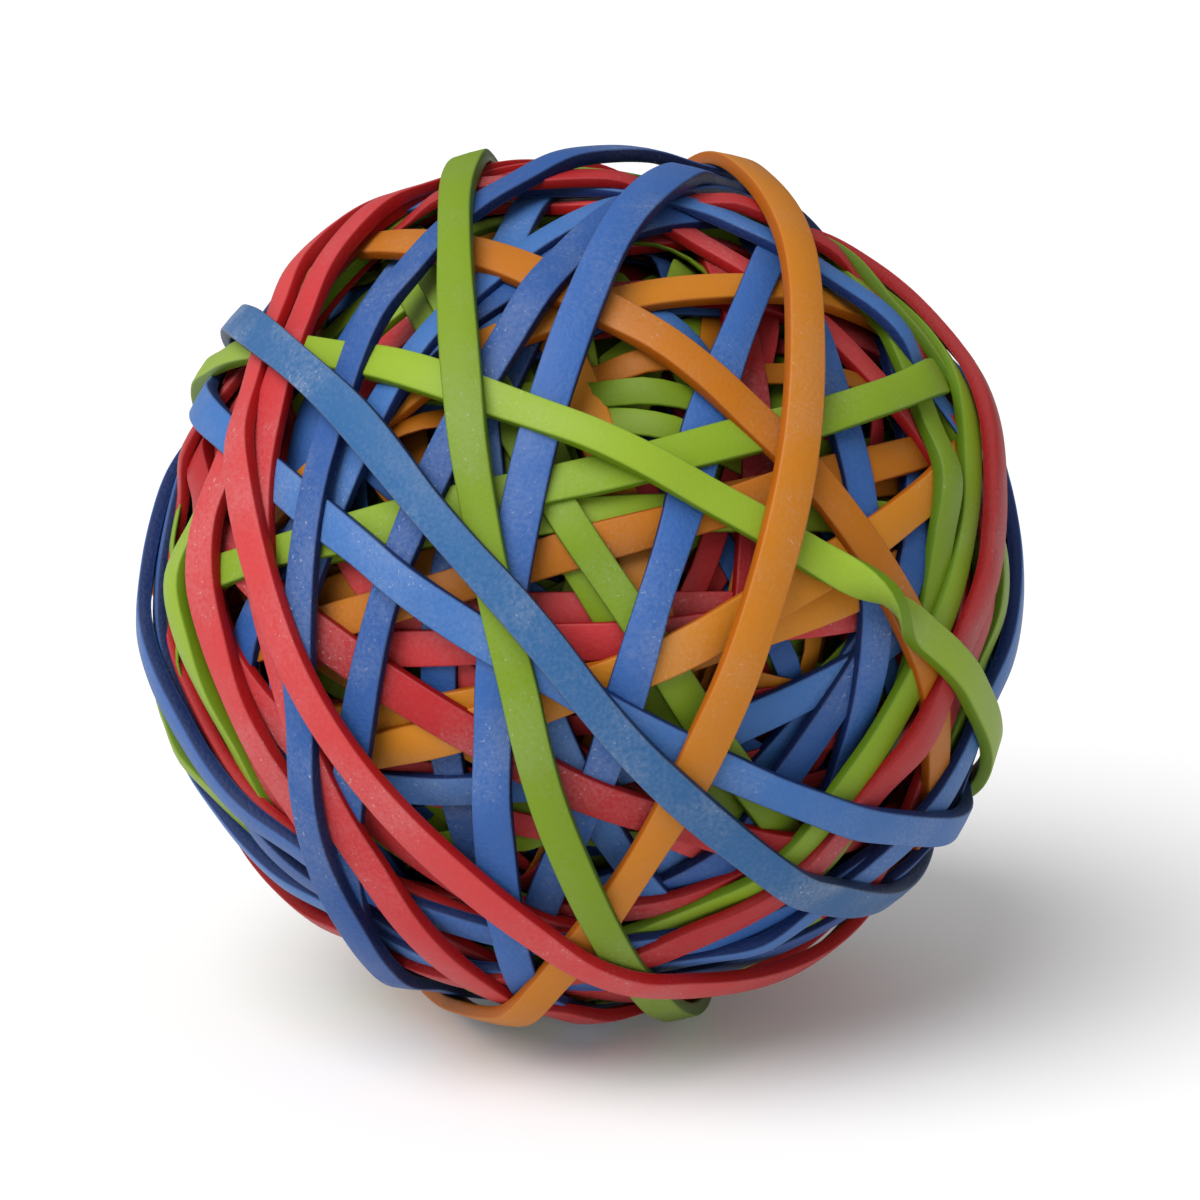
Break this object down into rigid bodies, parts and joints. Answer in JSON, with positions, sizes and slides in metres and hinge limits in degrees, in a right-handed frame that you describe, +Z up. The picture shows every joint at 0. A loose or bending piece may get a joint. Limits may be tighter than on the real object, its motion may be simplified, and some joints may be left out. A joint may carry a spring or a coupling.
{
  "type": "rubber band ball",
  "caption": "Solid ball wound from flat elastic bands in red, orange, lime green and blue, each a separate taut loop crossing the others at every angle.",
  "frame": {"origin": "middle of the underside of the ball's bounding box, where it touches the desk", "axes": "+Z up, front faces -Y; +X is the viewer's right as seen from the front"},
  "size_m": [0.0772, 0.0786, 0.077],
  "materials": {
    "red_rubber": "matte, lightly dusted",
    "orange_rubber": "matte, lightly dusted",
    "green_rubber": "matte, lightly dusted",
    "blue_rubber": "matte, lightly dusted",
    "inner_rubber": "matte, in deep shade"
  },
  "bodies": {
    "root": {"inner_bands": "inner_rubber", "red_band_01": "red_rubber", "orange_band_01": "orange_rubber", "red_band_02": "red_rubber", "orange_band_02": "orange_rubber", "red_band_03": "red_rubber", "green_band_01": "green_rubber", "blue_band_01": "blue_rubber", "red_band_04": "red_rubber", "orange_band_03": "orange_rubber", "green_band_02": "green_rubber", "green_band_03": "green_rubber", "red_band_05": "red_rubber", "blue_band_02": "blue_rubber", "blue_band_03": "blue_rubber", "red_band_06": "red_rubber", "green_band_04": "green_rubber", "orange_band_04": "orange_rubber", "blue_band_04": "blue_rubber", "blue_band_05": "blue_rubber", "orange_band_05": "orange_rubber", "red_band_07": "red_rubber", "blue_band_06": "blue_rubber", "green_band_05": "green_rubber", "green_band_06": "green_rubber", "blue_band_07": "blue_rubber", "orange_band_06": "orange_rubber", "blue_band_08": "blue_rubber", "red_band_08": "red_rubber", "orange_band_07": "orange_rubber", "blue_band_09": "blue_rubber", "blue_band_10": "blue_rubber", "red_band_09": "red_rubber", "red_band_10": "red_rubber", "red_band_11": "red_rubber", "green_band_07": "green_rubber", "green_band_08": "green_rubber", "green_band_09": "green_rubber", "green_band_10": "green_rubber", "green_band_11": "green_rubber", "green_band_12": "green_rubber", "red_band_12": "red_rubber", "orange_band_08": "orange_rubber", "red_band_13": "red_rubber", "blue_band_11": "blue_rubber", "blue_band_12": "blue_rubber", "blue_band_13": "blue_rubber", "red_band_14": "red_rubber", "blue_band_14": "blue_rubber", "blue_band_15": "blue_rubber", "blue_band_16": "blue_rubber", "green_band_13": "green_rubber", "red_band_15": "red_rubber", "blue_band_17": "blue_rubber", "orange_band_09": "orange_rubber", "green_band_14": "green_rubber", "red_band_16": "red_rubber", "blue_band_18": "blue_rubber"}
  },
  "joints": []
}
